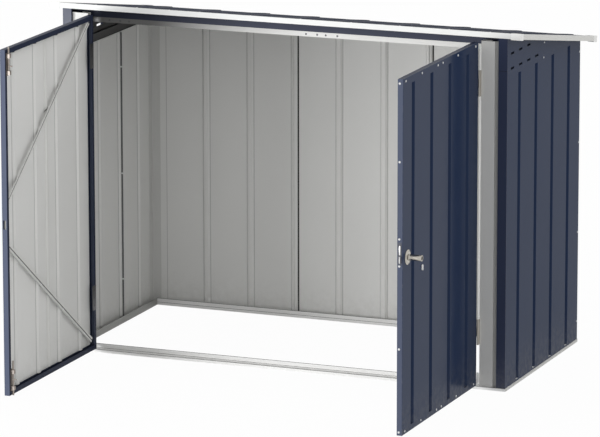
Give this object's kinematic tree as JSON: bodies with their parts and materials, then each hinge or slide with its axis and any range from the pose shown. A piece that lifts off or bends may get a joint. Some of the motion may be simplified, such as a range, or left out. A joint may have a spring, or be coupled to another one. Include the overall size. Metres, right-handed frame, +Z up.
{
  "type": "bike shelter",
  "caption": "Low ribbed metal shed on base rails, with a roof falling to the back and double doors standing open on a hollow inside.",
  "frame": {"origin": "on the ground, at the middle of the front wall's outer face", "axes": "+X to the right of someone facing the doors, +Y from the front to the back, +Z up"},
  "size_m": [2.245, 2.013, 1.6107],
  "materials": {
    "white_trim": "white paint, low gloss",
    "wall_sheet": "dark blue paint outside, off-white inside",
    "dark_frame": "dark blue paint, satin",
    "pale_frame": "light grey paint, satin",
    "roof_sheet": "dark blue paint, satin",
    "plated_steel": "yellowish plating",
    "satin_nickel": "satin nickel"
  },
  "bodies": {
    "shelter": {"base_rail_front": "white_trim", "base_rail_back": "white_trim", "base_rails_side": "white_trim", "left_wall_front": "wall_sheet", "left_wall_rear": "wall_sheet", "right_wall_front": "wall_sheet", "right_wall_rear": "wall_sheet", "back_wall_left": "wall_sheet", "back_wall_middle": "wall_sheet", "back_wall_right": "wall_sheet", "left_gable": "wall_sheet", "right_gable": "wall_sheet", "front_corner_posts": "dark_frame", "rear_corner_posts": "pale_frame", "door_jambs": "pale_frame", "header_rail": "dark_frame", "header_trim": "pale_frame", "top_rails": "pale_frame", "roof_beam": "pale_frame", "roof_sheet_left": "roof_sheet", "roof_sheet_middle": "roof_sheet", "roof_sheet_right": "roof_sheet", "fascia_front": "white_trim", "fascia_back": "white_trim", "fascias_side": "white_trim", "roof_corner_caps": "white_trim", "jamb_hinges": "plated_steel"},
    "left_door": {"left_door_stiles": "dark_frame", "left_door_rails": "dark_frame", "left_door_bracing": "pale_frame", "left_door_skin": "wall_sheet", "left_door_hinges": "plated_steel", "bolt_plates": "plated_steel"},
    "right_door": {"right_door_stiles": "dark_frame", "right_door_rails": "dark_frame", "right_door_bracing": "pale_frame", "right_door_skin": "wall_sheet", "right_door_hinges": "plated_steel", "lock_case": "satin_nickel", "knob_rose": "satin_nickel"},
    "top_bolt": {"top_bolt_rod": "plated_steel"},
    "bottom_bolt": {"bottom_bolt_rod": "plated_steel"},
    "door_knob": {"knob": "satin_nickel"},
    "latch": {"latch_bolt": "satin_nickel"}
  },
  "joints": [
    {"name": "left_door_hinge", "type": "hinge", "parent": "shelter", "child": "left_door", "pos_m": [-0.93775, -0.0095, 0.8], "axis": [0, 0, -1], "range_deg": [-90, 80]},
    {"name": "right_door_hinge", "type": "hinge", "parent": "shelter", "child": "right_door", "pos_m": [0.93775, -0.0095, 0.8], "axis": [0, 0, 1], "range_deg": [-90, 80]},
    {"name": "top_bolt_slide", "type": "slide", "parent": "left_door", "child": "top_bolt", "axis": [0, 0, 1], "range_m": [0, 0.017]},
    {"name": "bottom_bolt_slide", "type": "slide", "parent": "left_door", "child": "bottom_bolt", "axis": [0, 0, -1], "range_m": [0, 0.017]},
    {"name": "knob_turn", "type": "hinge", "parent": "right_door", "child": "door_knob", "pos_m": [0.93225, -0.88325, 0.788], "axis": [1, 0, 0], "range_deg": [0, 60], "stiffness_Nm_per_rad": 0.3},
    {"name": "latch_slide", "type": "slide", "parent": "right_door", "child": "latch", "axis": [0, 1, 0], "range_m": [0, 0.011]}
  ],
  "couplings": [
    {"joint": "latch_slide", "follows": "knob_turn", "m_per_rad": 0.0105}
  ]
}
